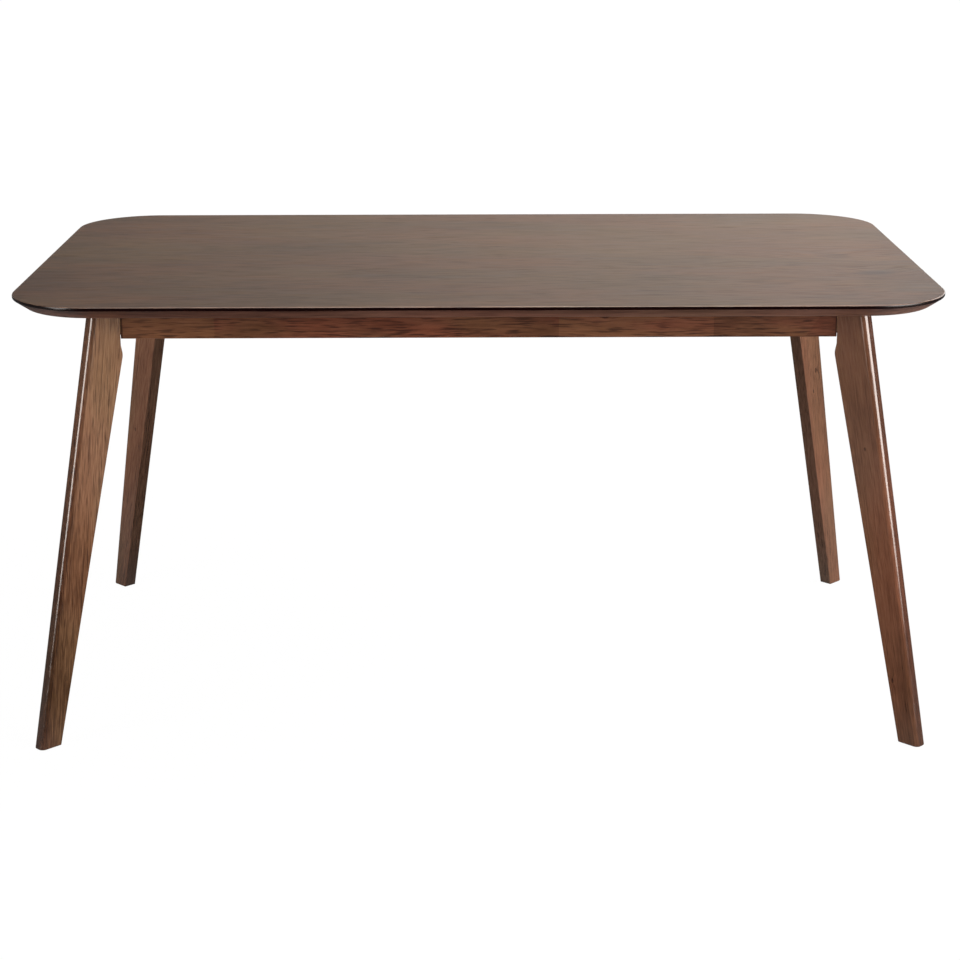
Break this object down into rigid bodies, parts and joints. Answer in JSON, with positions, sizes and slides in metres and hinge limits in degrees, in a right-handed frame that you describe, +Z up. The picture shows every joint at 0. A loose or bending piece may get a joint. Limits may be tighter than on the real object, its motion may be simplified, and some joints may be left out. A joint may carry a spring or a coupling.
{
  "type": "dining table",
  "caption": "Rectangular dining table with a rounded bevelled wooden top on an apron frame and splayed diagonal board legs.",
  "frame": {"origin": "on the floor under the middle of the tabletop", "axes": "+X along the table's length, +Y towards its rear long side, +Z up"},
  "size_m": [1.5, 0.9, 0.747],
  "materials": {
    "walnut_top": "walnut stain under satin lacquer",
    "walnut_frame": "walnut stain under satin lacquer",
    "plain_wood": "planed, unstained",
    "zinc_steel": "bright zinc plate",
    "brown_nylon": "moulded, matt"
  },
  "bodies": {
    "root": {"tabletop": "walnut_top", "front_apron": "walnut_frame", "rear_apron": "walnut_frame", "left_apron": "walnut_frame", "right_apron": "walnut_frame", "leg_front_left": "walnut_frame", "leg_front_right": "walnut_frame", "leg_rear_left": "walnut_frame", "leg_rear_right": "walnut_frame", "block_front_left": "plain_wood", "block_front_right": "plain_wood", "block_rear_left": "plain_wood", "block_rear_right": "plain_wood", "cross_rail": "plain_wood", "rail_dowels": "plain_wood", "bolts_front_left": "zinc_steel", "bolts_front_right": "zinc_steel", "bolts_rear_left": "zinc_steel", "bolts_rear_right": "zinc_steel", "washers_front_left": "zinc_steel", "washers_front_right": "zinc_steel", "washers_rear_left": "zinc_steel", "washers_rear_right": "zinc_steel", "nuts_front_left": "zinc_steel", "nuts_front_right": "zinc_steel", "nuts_rear_left": "zinc_steel", "nuts_rear_right": "zinc_steel", "bracket_front_left": "zinc_steel", "bracket_front_right": "zinc_steel", "bracket_rear_left": "zinc_steel", "bracket_rear_right": "zinc_steel", "bracket_left": "zinc_steel", "bracket_right": "zinc_steel", "block_screws": "zinc_steel", "top_screws": "zinc_steel", "rail_screws": "zinc_steel", "bracket_screws": "zinc_steel", "glide_nails": "zinc_steel", "glide_front_left": "brown_nylon", "glide_front_right": "brown_nylon", "glide_rear_left": "brown_nylon", "glide_rear_right": "brown_nylon"}
  },
  "joints": []
}
